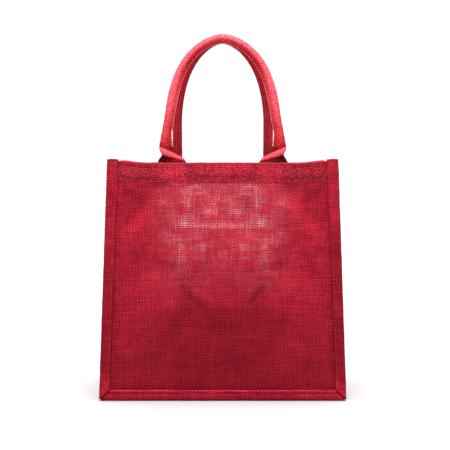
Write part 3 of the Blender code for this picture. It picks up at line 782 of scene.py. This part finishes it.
def bottom_binding(label, back):
    s = 1 if back else -1
    out, inn = BINDING_OUT, BINDING_IN
    prof = [(BINDING_W, out - 0.0008), (BINDING_W - 0.0006, out + 0.0004), (BINDING_W - 0.0014, out + 0.0007)]
    prof += [(BINDING_W - 0.0022, out + 0.0003), (BINDING_W - 0.0029, out - 0.0007), (BINDING_W - 0.0036, out - 0.0001)]
    for k in range(1, 8):
        f = k / 8
        prof.append((BINDING_W - 0.0036 - (BINDING_W - 0.0064) * f, out + 0.0001 + 0.0006 * math.sin(math.pi * f)))
    rr = (out - inn) / 2
    for k in range(9):
        a = math.pi * k / 8
        prof.append((rr * 0.95 + SHEET / 2 - rr * 0.95 * math.sin(a), (out + inn) / 2 + rr * math.cos(a)))
    for k in range(1, 5):
        prof.append((0.003 + (BINDING_W - 0.003) * k / 4, inn))
    arc = [0.0]
    for p, q in zip(prof, prof[1:]):
        arc.append(arc[-1] + math.dist(p, q))
    n = 200
    pts, uvs, lies = [], [], []
    for r in range(n + 1):
        row, uvrow, lie = [], [], []
        u = -1 + 2 * r / n
        for (z, depth), w in zip(prof, arc):
            reach = half_width(z) - z - 0.0003
            # the corner of the foot is rounded off
            reach -= 0.0011 * smooth(0.003, 0.0, z)
            x = u * reach
            y = depth + 0.0003 * wave(x, z * 4, s, 60.0)
            zz = z + 0.00025 * wave(x, 2.0, s, 50.0) * smooth(0.002, 0.01, z)
            y -= 0.0008 * smooth(0.0022, 0.0, reach - abs(x)) * (depth > PANEL_MID)
            row.append((x, s * y, max(zz, SHEET / 2 * 0.9)))
            uvrow.append((x, -w * s))
            # painted light and shade: a paler ridge, a darker broken groove below it, darker at the mitred ends and
            # along the very bottom; the waves are random mottle
            ridge = math.exp(-(((z - 0.0117) / 0.0011) ** 2)) * (depth > PANEL_MID)
            groove = math.exp(-(((z - 0.0098) / 0.0009) ** 2)) * (depth > PANEL_MID)
            broken = smooth(-0.25, 0.3, wave(x, 3.0, s, 55.0) + 0.35 * smooth(0.03, 0.11, abs(x)))
            tone = 0.80 * (1 + 0.40 * ridge - 0.52 * groove * broken)
            tone *= 1 + 0.16 * wave(x, z, s, 70.0) + 0.06 * smooth(0.02, 0.12, abs(x))
            tone *= 1 - 0.62 * smooth(0.0018, 0.0, reach - abs(x))
            tone *= 1 - 0.30 * smooth(0.0035, 0.0, z) * (depth > PANEL_MID)
            lie.append((0.5 * ridge, max(0.1, tone)))
        pts.append(row)
        uvs.append(uvrow)
        lies.append(lie)
    obj = shell(f"{label}_foot_tape", pts, uvs, TAPE_FLAT, thickness=0.0012, lie=lies)
    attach(obj, f"{label}_side")
    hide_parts(f"{label}_bottom_binding")
    return obj


def gusset(where):
    side = -1 if where == "left" else 1
    rows, arc, hem_rows = 90, 6, 12
    fold_r = 0.0011
    fold_z = RIM - SHEET / 2 - fold_r
    # across the strip: flange, wall, flange
    flange = [i / 6 for i in range(7)]
    wall = [i / 60 for i in range(1, 60)]
    zs = [("up", EDGE_INSET + (fold_z - EDGE_INSET) * r / rows, 0.0) for r in range(rows + 1)]
    zs += [("arc", fold_z + fold_r * math.sin(math.pi * i / arc), fold_r * (1 - math.cos(math.pi * i / arc))) for i in range(1, arc + 1)]
    zs += [("hem", fold_z - (HEM - 0.002) * r / hem_rows, 2 * fold_r) for r in range(1, hem_rows + 1)]
    pts, uvs = [], []
    run = 0.0
    last = None
    for kind, z, inward in zs:
        if last is not None:
            run += math.dist((z, inward), last)
        last = (z, inward)
        row, uvrow = [], []
        depth = GUSSET_FOLD * max(0.0, min(1.0, (z - 0.06) / (RIM - 0.06)))
        fy = FLANGE_MID - (0.0021 * inward / (2 * fold_r) if inward else 0.0)
        for f in flange:
            inset = EDGE_INSET + (WALL_INSET - EDGE_INSET) * f
            zz = max(z, inset) if kind == "up" else z
            row.append((side * (half_width(zz) - inset), -fy, zz))
            uvrow.append((-0.0863 - (WALL_INSET - EDGE_INSET) * (1 - f), run))
        for f in wall:
            zz = max(z, WALL_INSET + 0.001) if kind == "up" else z
            yy = -fy + 2 * fy * f
            t = abs(yy) / fy
            # soft crease: nearly a V at the rim, a shallow curve lower down
            vee = (1 - t) * (0.35 + 0.65 * smooth(0.0, 0.25, 1 - t)) if t < 1 else 0
            vee = 1 - t if z > 0.24 else vee * 0.5 + (1 - t) * 0.5
            bow = 0.0012 * wave(yy, zz, side, 18.0) + 0.0007 * wave(yy, zz, side + 4, 45.0)
            x = wall_x(zz) - depth * vee - inward
            x += bow * smooth(0, 0.02, fy - abs(yy)) * smooth(0.02, 0.06, zz) * smooth(0, 0.02, RIM - zz + 0.01)
            row.append((side * x, yy, zz))
            uvrow.append((yy, run))
        for f in flange[::-1]:
            inset = EDGE_INSET + (WALL_INSET - EDGE_INSET) * f
            zz = max(z, inset) if kind == "up" else z
            row.append((side * (half_width(zz) - inset), fy, zz))
            uvrow.append((0.0863 + (WALL_INSET - EDGE_INSET) * (1 - f), run))
        pts.append(row)
        uvs.append(uvrow)
    nf = len(flange)
    cols = len(pts[0])

    def keep(c, r):
        if r >= rows and (c < nf - 1 or c >= cols - nf):
            return False
        # rows that the mitred foot of the strip flattens to nothing
        a, b = pts[r][c], pts[r + 1][c]
        e, f = pts[r][c + 1], pts[r + 1][c + 1]
        return math.dist(a, b) > 1e-6 and math.dist(e, f) > 1e-6

    obj = shell(f"{where}_gusset_cloth", pts, uvs, SIDE, keep=keep)
    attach(obj, "gusset_strip")
    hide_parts(f"{where}_gusset")
    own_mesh(obj)
    return obj


def base():
    n, m = 110, 60
    xr = wall_x(BASE_MID) - 0.0003
    pts, uvs = [], []
    depth = [-FLANGE_MID] * 6 + [-FLANGE_MID + 2 * FLANGE_MID * i / m for i in range(m + 1)] + [FLANGE_MID] * 6
    down = [EDGE_INSET + (BASE_MID - EDGE_INSET) * i / 6 for i in range(6)]
    height = down + [BASE_MID] * (m + 1) + down[::-1]
    for r in range(n + 1):
        u = -1 + 2 * r / n
        row, uvrow = [], []
        run = 0.0
        for k, (y, z) in enumerate(zip(depth, height)):
            if k:
                run += math.dist((y, z), (depth[k - 1], height[k - 1]))
            x = u * (xr + (BASE_MID - z) * 0.9)
            sag = 0.0
            if z == BASE_MID:
                sag = -0.0012 * (1 - (y / FLANGE_MID) ** 2) * (1 - u * u) + 0.0004 * wave(x, y, 1.0, 30.0) * (1 - u * u)
            row.append((x, y, z + sag))
            uvrow.append((x, run - 0.1))
        pts.append(row)
        uvs.append(uvrow)
    obj = shell("base_cloth", pts, uvs, SIDE)
    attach(obj, "gusset_strip")
    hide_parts("base_panel")
    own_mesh(obj)
    return obj


front_cloth = panel("front", False)
back_cloth = panel("back", True)
for label, back in (("front", False), ("back", True)):
    for where in ("left", "right"):
        side_binding(label, where, back)
    bottom_binding(label, back)
gussets = {w: gusset(w) for w in ("left", "right")}
base_cloth = base()

# ================================================================ sewing
for label, s in (("front", -1), ("back", 1)):
    y = s * (BINDING_OUT + 0.0009)
    hi = 0.2895
    low = 0.0118
    def at(z, inset=0.0116):
        return half_width(z) - inset
    line = [(-at(hi), y - s * 0.0004, hi), (-at(low), y, low), (at(low), y, low), (at(hi), y - s * 0.0004, hi)]
    top = stitches(f"{label}_topstitch", line, ORANGE, outward=(0, s, 0), radius=0.00036, pitch=0.0040)
    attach(top, f"{label}_side")
    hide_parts(f"{label}_binding_topstitch")
    reach = half_width(0.273) - BINDING_W - 0.001
    pts = []
    for i in range(41):
        x = -reach + 2 * reach * i / 40
        z = 0.2725 + rim_lift(x, RIM) * 0.3
        pts.append((x, s * (PANEL_MID + relief(x, z) + SHEET / 2 + 0.0001), z))
    row = stitches(f"{label}_hem_stitches", pts, RED, outward=(0, s, 0), pitch=0.0036, radius=0.00032, lift=0.00015)
    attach(row, f"{label}_side")
    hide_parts(f"{label}_hem_stitch")
    for where, side in (("left", -1), ("right", 1)):
        # two short dashes of bartack at the head of the binding
        tack_pts = []
        bm_objs = []
        for x, z0, z1 in ((0.1370, 0.2915, 0.2958), (0.1336, 0.2910, 0.2962)):
            line = []
            n = 14
            for i in range(n + 1):
                z = z0 + (z1 - z0) * i / n
                line.append((side * x + (0.00055 if i % 2 else -0.00055), y + s * 0.0001, z))
            bm_objs.append(tube("dash", line, 0.00036, TACK, sides=6))
        bpy.ops.object.select_all(action="DESELECT")
        for o in bm_objs:
            o.select_set(True)
        bpy.context.view_layer.objects.active = bm_objs[0]
        bpy.ops.object.join()
        tack = bpy.context.view_layer.objects.active
        tack.name = f"{label}_{where}_tack"
        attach(tack, f"{label}_side")
        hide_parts(f"{label}_{where}_bartack")

for where, side in (("left", -1), ("right", 1)):
    z = 0.2725
    depth = GUSSET_FOLD * (z - 0.06) / (RIM - 0.06)
    pts = []
    for i in range(31):
        yy = -0.082 + 0.164 * i / 30
        pts.append((side * (wall_x(z) - depth * (1 - abs(yy) / FLANGE_MID) + SHEET / 2 + 0.0003), yy, z))
    row = stitches(f"{where}_gusset_stitches", pts, RED, outward=(side, 0, 0), pitch=0.0036, radius=0.00032, lift=0.0003)
    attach(row, "gusset_strip")
    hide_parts(f"{where}_gusset_hem_stitch")
    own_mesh(row)


# ================================================================ handles
def arch_x(shape, down):
    """Half the width of a handle's line at a distance below its top."""
    d = down / MM
    a, b, c, e = shape
    return (a * math.sqrt(d) + b * d + c * d * math.sqrt(d) + e * d * d) * MM


BACK_SHAPE = HANDLES["back"][0]


def arch(shape, rise, start_z):
    """Fine points (x, z) of the handle's line from one foot to the other, above start_z."""
    drop = RIM + rise - start_z
    fine = []
    for i in range(-900, 901):
        down = drop * (i / 900) ** 2
        z = RIM + rise - down
        bow = 0.0013 * math.exp(-(((z - 0.332) / 0.014) ** 2))
        if shape is BACK_SHAPE:
            bow = -0.0009 * math.exp(-(((z - 0.343) / 0.022) ** 2))
        fine.append((math.copysign(arch_x(shape, down) + bow, i), z))
    return fine


def resample(points, count):
    pts = [Vector(p) for p in points]
    along = [0.0]
    for p, q in zip(pts, pts[1:]):
        along.append(along[-1] + (q - p).length)
    out, k = [], 0
    for i in range(count):
        want = along[-1] * i / (count - 1)
        while k < len(along) - 2 and along[k + 1] < want:
            k += 1
        f = (want - along[k]) / max(1e-12, along[k + 1] - along[k])
        out.append(pts[k].lerp(pts[k + 1], f))
    return out, along[-1]


def lean_y(z, rise):
    slope = (TAPE_MID - TOP_Y) / (RIM + rise - KINK_Z)
    return -TAPE_MID + max(0.0, z - KINK_Z) * slope


SLEEVE_LOW = 0.3105  # the padded tube is one piece from here up, the flat end another below


def padded_loop(label, back):
    """The padded tube: plump, wider where it is squeezed flat at the feet, with its seam along the inside."""
    shape, rise = HANDLES[label]
    fine = arch(shape, rise, SLEEVE_LOW)
    line3 = [(x, lean_y(z, rise), z) for x, z in fine]
    n = 170
    mid, total = resample(line3, n)
    sides = 36
    plane = Vector((0, lean_y(KINK_Z + 0.1, rise) - lean_y(KINK_Z, rise), 0.1)).normalized()
    normal = Vector((1, 0, 0)).cross(plane).normalized()  # across the plane of the loop, roughly towards -Y
    if normal.y > 0:
        normal = -normal
    centre = Vector((0, lean_y(RIM + rise * 0.4, rise), RIM + rise * 0.4))
    pts, uvs, lies, seam_line = [], [], [], []
    wide = 0.0009 if back else 0.0029
    for i, p in enumerate(mid):
        q0, q1 = mid[max(0, i - 1)], mid[min(n - 1, i + 1)]
        t = (q1 - q0).normalized()
        run = total * i / (n - 1)
        near = min(run, total - run)  # distance from the nearer foot
        level = smooth(0.018, 0.002, near)
        inward = t.cross(normal).normalized()
        if inward.dot(centre - p) < 0:
            inward = -inward
        flat_in = Vector((-math.copysign(1, p.x), 0, 0))
        inward = inward.lerp(flat_in, level).normalized()
        across = normal.lerp(Vector((0, -1, 0)), level).normalized()
        open_ = max(0.0, min(1.0, (0.0295 - near) / 0.0295))
        ripple = 0.00025 * wave(run, 1.0 if back else 4.0, 0.0, 130.0)
        tuck = 0.60 + 0.40 * math.sqrt(smooth(0.0, 0.0045, near))
        r_in = (0.0063 - (0.0 if back else 0.0005) * smooth(0.09, 0.03, near) + wide * open_**1.6 + ripple) * tuck
        r_out = (0.0064 - 0.0003 * open_ + ripple) * tuck
        row, uvrow, lie = [], [], []
        for k in range(sides):
            ang = 2 * math.pi * k / sides
            c, sn = math.cos(ang), math.sin(ang)
            # the two edges of the cloth are sewn together along the inside, turned a little to the front
            off = (ang - 0.25 + math.pi) % (2 * math.pi) - math.pi
            seam = math.exp(-((off / 0.15) ** 2)) * 0.0009
            nb = 0.00028 * noise.noise(Vector((run * 210, c * 2.4, sn * 2.4 + (3 if back else 0))))
            nb += 0.00022 * noise.noise(Vector((run * 520, c * 5.0, sn * 5.0)))
            v = inward * (c * (r_in + nb) + seam * tuck) + across * (sn * (r_out + nb))
            pt = p + v
            # the end is cut on the slant: lower towards the middle of the bag
            pt.z -= (0.27 * (v.dot(flat_in)) + 0.0005) * level
            row.append((pt.x, -pt.y if back else pt.y, pt.z))
            uvrow.append((k / sides * 0.042, run))
            tone = 1.0
            if back:
                # painted shade: darker at the feet and towards the top, and on the side that faces the front handle;
                # the wave is random mottle
                tone *= ramp(near, [(0.0, 0.70), (0.010, 0.85), (0.03, 0.95), (0.1, 0.80), (0.2, 0.75)])
                tone *= 0.92 + 0.28 * smooth(-0.15, 0.5, sn)
                tone *= 1 + 0.18 * wave(run, ang, 2.0, 90.0)
            else:
                # painted light and shade: darker near the feet, paler towards the top of the arch
                tone *= ramp(near, [(0.0, 0.36), (0.004, 0.46), (0.009, 0.62), (0.016, 0.76), (0.035, 0.84), (0.062, 1.02), (0.09, 1.10), (0.14, 1.12), (0.18, 1.50), (0.22, 1.90)])
                # painted shade along the underside, painted highlight along the outside of the bend
                high = smooth(0.06, 0.16, near)
                tone *= 1 - (0.16 + 0.40 * high) * smooth(-0.10, 0.85, c)
                tone *= 1 + 0.26 * high * smooth(0.2, 0.95, -c)
                tone *= 1 + 0.16 * wave(run, c, sn, 110.0)
            lie.append((near, tone))
        pts.append(row)
        uvs.append(uvrow)
        lies.append(lie)
        if near > 0.0075:
            turn = 0.16 - 0.30 * smooth(0.150, 0.215, near)
            q = p + inward * (math.cos(turn) * r_in + 0.0008) + across * (math.sin(turn) * r_out)
            seam_line.append((q.x, -q.y if back else q.y, q.z))
    skin = COTTON_BACK_SHADED if back else COTTON
    obj = shell(f"{label}_handle_sleeve", pts, uvs, skin, thickness=0.0010, close_u=True, offset=-1.0, lie=lies)
    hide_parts(f"{label}_handle_cover")
    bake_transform(obj)
    # the front seam is drawn in the pale thread as a painted highlight along the inner edge, the back one in the darker
    # red
    thread = tube(f"{label}_sleeve_seam", seam_line, 0.00030, PINK if not back else RED, sides=6, wobble=0.3)
    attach(thread, f"{label}_handle_loop")
    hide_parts(f"{label}_handle_seam_stitch")
    return obj


FOOT_LINE = (
    # height, middle (outwards), half width of the folded end as it narrows and twists, in mm
    (262.0, 62.0, 17.9),
    (295.0, 62.8, 17.9),
    (296.6, 63.4, 17.8),
    (300.6, 63.7, 15.4),
    (303.7, 64.1, 12.6),
    (305.2, 65.0, 11.0),
    (308.7, 68.2, 9.0),
    (311.8, 69.6, 9.4),
    (314.3, 70.0, 9.1),
    (317.5, 70.0, 5.6),
)


def handle_foot(label, where, back):
    """The flat end of the handle: from inside the hem up over it, narrowing, with a fold rolled slantwise over it."""
    side = -1 if where == "left" else 1
    shift = 0.0 if not back else -4.4
    rows_in, rows_up, sides = 20, 64, 84
    pts, uvs, lies = [], [], []
    levels = [262.0 + (295.0 - 262.0) * r / rows_in for r in range(rows_in)]
    levels += [295.0 + (317.5 - 295.0) * r / rows_up for r in range(rows_up + 1)]
    for z in levels:
        mid = ramp(z, [(a, b) for a, b, c in FOOT_LINE]) + shift * smooth(296.0, 312.0, z)
        half = ramp(z, [(a, c) for a, b, c in FOOT_LINE])
        if back:
            half = min(half, 17.9 - 10.9 * smooth(297.0, 312.0, z))
        up = smooth(299.0, 312.0, z)
        half_t = 1.2 + 3.6 * up - 1.6 * smooth(314.5, 317.5, z)
        power = 5.0 - 3.0 * up
        row, uvrow, lie = [], [], []
        for k in range(sides):
            ang = 2 * math.pi * k / sides
            c, sn = math.cos(ang), math.sin(ang)
            x = half * math.copysign(abs(c) ** (2 / power), c)
            y = half_t * math.copysign(abs(sn) ** (2 / power), sn)
            out = mid + side * x - shift * smooth(296.0, 312.0, z)  # outward position of the point, in mm
            rz = 300.4 + 0.37 * (out - 51.0) + 0.5 * noise.noise(Vector((out * 0.5, side, 0)))
            hh = max(2.2, 2.7 + (out - 51.0) / 26.0 * 2.6)
            roll = math.exp(-(abs((z - rz) / hh) ** 3))
            roll *= 0.55 + 0.45 * math.cos(0.9 * (z - rz) / hh)
            gate = smooth(295.6, 298.5, z)
            front = 1.0 if sn < 0.08 else 0.0
            bulge = 4.6 * roll * gate * (0.55 + 0.45 * min(1.0, abs(sn) * 1.4))
            y += -bulge if front else -0.25 * bulge
            wob = 0.22 * noise.noise(Vector((x * 0.22, z * 0.22, side * 3.0))) + 0.12 * noise.noise(Vector((x, z, side)))
            yy = -TAPE_MID / MM + y + wob
            px, py = (side * mid + x) * MM, (-yy if back else yy) * MM
            row.append((px, py, z * MM))
            run = 0.0
            if pts:
                run = uvs[-1][k][1] + math.dist(pts[-1][k], row[-1])
            uvrow.append((k / sides * 0.072, run))
            # painted light and shade: the rolled fold is paler, with a painted shadow under it and in the crease above
            # it; the back feet take one flat tone
            fringe = 0.7 * noise.noise(Vector((out * 1.7, side, 2.0)))
            below = smooth(rz + fringe - hh * 0.60, rz + fringe - hh * 0.98, z)
            above = smooth(rz + hh * 0.75, rz + hh * 1.15, z)
            tone = 0.80 + 0.44 * roll * (0.60 + 0.40 * smooth(rz - hh * 0.5, rz + hh * 0.4, z))
            tone *= 1 + 0.30 * wave(out * MM, z * MM, side + 5, 900.0)
            tone *= 1 - below * (0.87 - 0.36 * smooth(66.0, 54.0, out)) * smooth(295.0, 296.5, z)
            tone *= 1 - 0.70 * above
            tone *= 1 + 0.12 * wave(out * MM, z * MM, side, 300.0)
            if back:
                tone = 0.75
            lie.append((run * 0.9, max(0.08, tone)))
        pts.append(row)
        uvs.append(uvrow)
        lies.append(lie)
    skin = COTTON_FOLD
    obj = shell(f"{label}_{where}_handle_foot", pts, uvs, skin, thickness=0.0009, close_u=True, offset=-1.0, lie=lies)
    bm = bmesh.new()
    bm.from_mesh(obj.data)
    for test in (lambda v: v.co.z < 0.2622, lambda v: v.co.z > 0.3173):
        ring = [e for e in bm.edges if e.is_boundary and all(test(v) for v in e.verts)]
        bmesh.ops.holes_fill(bm, edges=ring, sides=0)
    bmesh.ops.recalc_face_normals(bm, faces=bm.faces)
    bm.to_mesh(obj.data)
    bm.free()
    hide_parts(f"{label}_{where}_handle_end", f"{label}_{where}_tab")
    s = 1 if back else -1
    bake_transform(obj)
    y = s * (TAPE_MID - 0.0016)
    w, lo, hi = 0.0145, 0.2655, 0.2915
    cxs = side * TAB_X
    line = [(cxs - w, y, lo), (cxs + w, y, lo), (cxs + w, y, hi), (cxs - w, y, hi), (cxs - w, y, lo), (cxs + w, y, hi)]
    sew = stitches(f"{label}_{where}_foot_stitches", line, RED, outward=(0, -s, 0), pitch=0.0032, radius=0.00035)
    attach(sew, f"{label}_side")
    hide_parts(f"{label}_{where}_tab_stitching")
    return obj


def merged(name, objs):
    """Joins small strands into one named piece."""
    bpy.ops.object.select_all(action="DESELECT")
    for o in objs:
        o.select_set(True)
    bpy.context.view_layer.objects.active = objs[0]
    bpy.ops.object.join()
    made = bpy.context.view_layer.objects.active
    made.name = name
    return made


def rim_crowns(label, s):
    """Each warp thread stands up as a small crown where the cloth turns over the rim."""
    objs = []
    reach = wall_x(RIM) - 0.005
    x = -reach
    while x < reach:
        wob = rng.random()
        top = RIM - SHEET / 2 - 0.0011 + rim_lift(x, RIM)
        line = []
        rad = 0.0011 + SHEET / 2 - 0.00012 + 0.00012 * wob
        for k in range(7):
            a = math.pi * (0.06 + 0.78 * k / 6)
            corner = smooth(0.070, 0.131, abs(x))
            y = PANEL_MID + relief(x, RIM - 0.002) - 0.0012 * corner - 0.0011 + rad * math.cos(a)
            line.append((x + 0.0002 * (wob - 0.5) * k, s * y, top + rad * math.sin(a) + 0.0008 * corner))
        objs.append(tube("crown", line, 0.00046 + 0.00014 * wob, CROWN, sides=6))
        x += 0.00248 * (0.92 + 0.16 * rng.random())
    made = merged(f"{label}_rim_yarns", objs)
    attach(made, f"{label}_side")


def loose_fibres(label, s):
    """Short hairs of jute that stand off the rim, the bindings and the foot."""
    objs = []
    spots = []
    for _ in range(46):
        spots.append((rng.uniform(-0.128, 0.128), RIM + 0.0012, 0.0, 1.0))
    for _ in range(34):
        z = rng.uniform(0.01, 0.295)
        side = rng.choice((-1, 1))
        spots.append((side * (half_width(z) - 0.0003), z, side * 1.0, 0.1))
    for x, z, ox, oz in spots:
        p = Vector((x, s * (PANEL_MID - 0.0008), z))
        d = Vector((ox + rng.uniform(-0.8, 0.8), s * rng.uniform(-0.2, 0.8), oz + rng.uniform(-0.5, 0.5))).normalized()
        bend = Vector((rng.uniform(-1, 1), rng.uniform(-1, 1), rng.uniform(-1, 1))) * 0.5
        line = []
        length = rng.uniform(0.0012, 0.0034)
        for k in range(6):
            d = (d + bend * 0.35).normalized()
            line.append(tuple(p))
            p = p + d * length / 5
        objs.append(tube("hair", line, 0.00010, FLUFF, sides=4))
    made = merged(f"{label}_fibres", objs)
    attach(made, f"{label}_side")


for label, s in (("front", -1), ("back", 1)):
    rim_crowns(label, s)
    loose_fibres(label, s)

sleeves, feet = {}, {}
for label, back in (("front", False), ("back", True)):
    sleeves[label] = padded_loop(label, back)
    for where in ("left", "right"):
        feet[label, where] = handle_foot(label, where, back)
    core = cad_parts[f"{label}_handle_core"]
    core.data.materials.clear()
    core.data.materials.append(ROPE)

# ================================================================ studio
floor_mat = Graph("pale_floor")
floor_mat.shader.inputs["Base Color"].default_value = (0.58, 0.58, 0.58, 1)
floor_mat.shader.inputs["Roughness"].default_value = 0.8
floor_mat.shader.inputs["Specular IOR Level"].default_value = 0.1
bm = bmesh.new()
bmesh.ops.create_grid(bm, x_segments=1, y_segments=1, size=20.0)
floor_mesh = bpy.data.meshes.new("floor")
bm.to_mesh(floor_mesh)
bm.free()
floor = bpy.data.objects.new("floor", floor_mesh)
bpy.context.scene.collection.objects.link(floor)
floor.location = (0, 0, -0.0004)
floor_mesh.materials.append(floor_mat.mat)

# a white sheet of light, well behind the bag
glow = bpy.data.materials.new("backdrop_glow")
glow.use_nodes = True
gt = glow.node_tree
gt.nodes.clear()
g_out = gt.nodes.new("ShaderNodeOutputMaterial")
g_em = gt.nodes.new("ShaderNodeEmission")
g_em.inputs[0].default_value = (1, 1, 1, 1)
g_em.inputs[1].default_value = 1.1
gt.links.new(g_em.outputs[0], g_out.inputs[0])
drop_mesh = bpy.data.meshes.new("backdrop")
drop_mesh.from_pydata([(-9, 9, -0.0004), (9, 9, -0.0004), (9, 9, 8), (-9, 9, 8)], [], [(0, 1, 2, 3)])
drop = bpy.data.objects.new("backdrop", drop_mesh)
bpy.context.scene.collection.objects.link(drop)
drop_mesh.materials.append(glow)

world = bpy.data.worlds.new("studio")
bpy.context.scene.world = world
world.use_nodes = True
wt = world.node_tree
wt.nodes.clear()
out = wt.nodes.new("ShaderNodeOutputWorld")
bg = wt.nodes.new("ShaderNodeBackground")
bg.inputs[0].default_value = (1, 1, 1, 1)
bg.inputs[1].default_value = 0.5
wt.links.new(bg.outputs[0], out.inputs[0])

sky = bpy.data.lights.new("overhead", "SUN")
sky.energy = 4.3
sky.angle = math.radians(46)
sky_o = bpy.data.objects.new("overhead", sky)
bpy.context.scene.collection.objects.link(sky_o)
sky_o.rotation_euler = (math.radians(5), 0, 0)

fill = bpy.data.lights.new("front_fill", "AREA")
fill.shape = "RECTANGLE"
fill.size, fill.size_y = 1.8, 1.2
fill.energy = 25
fill_o = bpy.data.objects.new("front_fill", fill)
bpy.context.scene.collection.objects.link(fill_o)
fill_o.location = (0, -2.1, 1.0)
fill_o.rotation_euler = (Vector((0, -0.09, 0.28)) - Vector((0, -2.1, 1.0))).to_track_quat("-Z", "Y").to_euler()

cam = bpy.data.cameras.new("camera")
cam.lens = 72.9
cam.sensor_width = 36
cam.shift_x = 2.3 / 450
cam.clip_start = 0.05
cam_o = bpy.data.objects.new("camera", cam)
bpy.context.scene.collection.objects.link(cam_o)
cam_o.location = (0, -0.090 - 1.130, 0.218)
cam_o.rotation_euler = (math.radians(90), 0, 0)
bpy.context.scene.camera = cam_o
bpy.context.scene.view_settings.view_transform = "Standard"
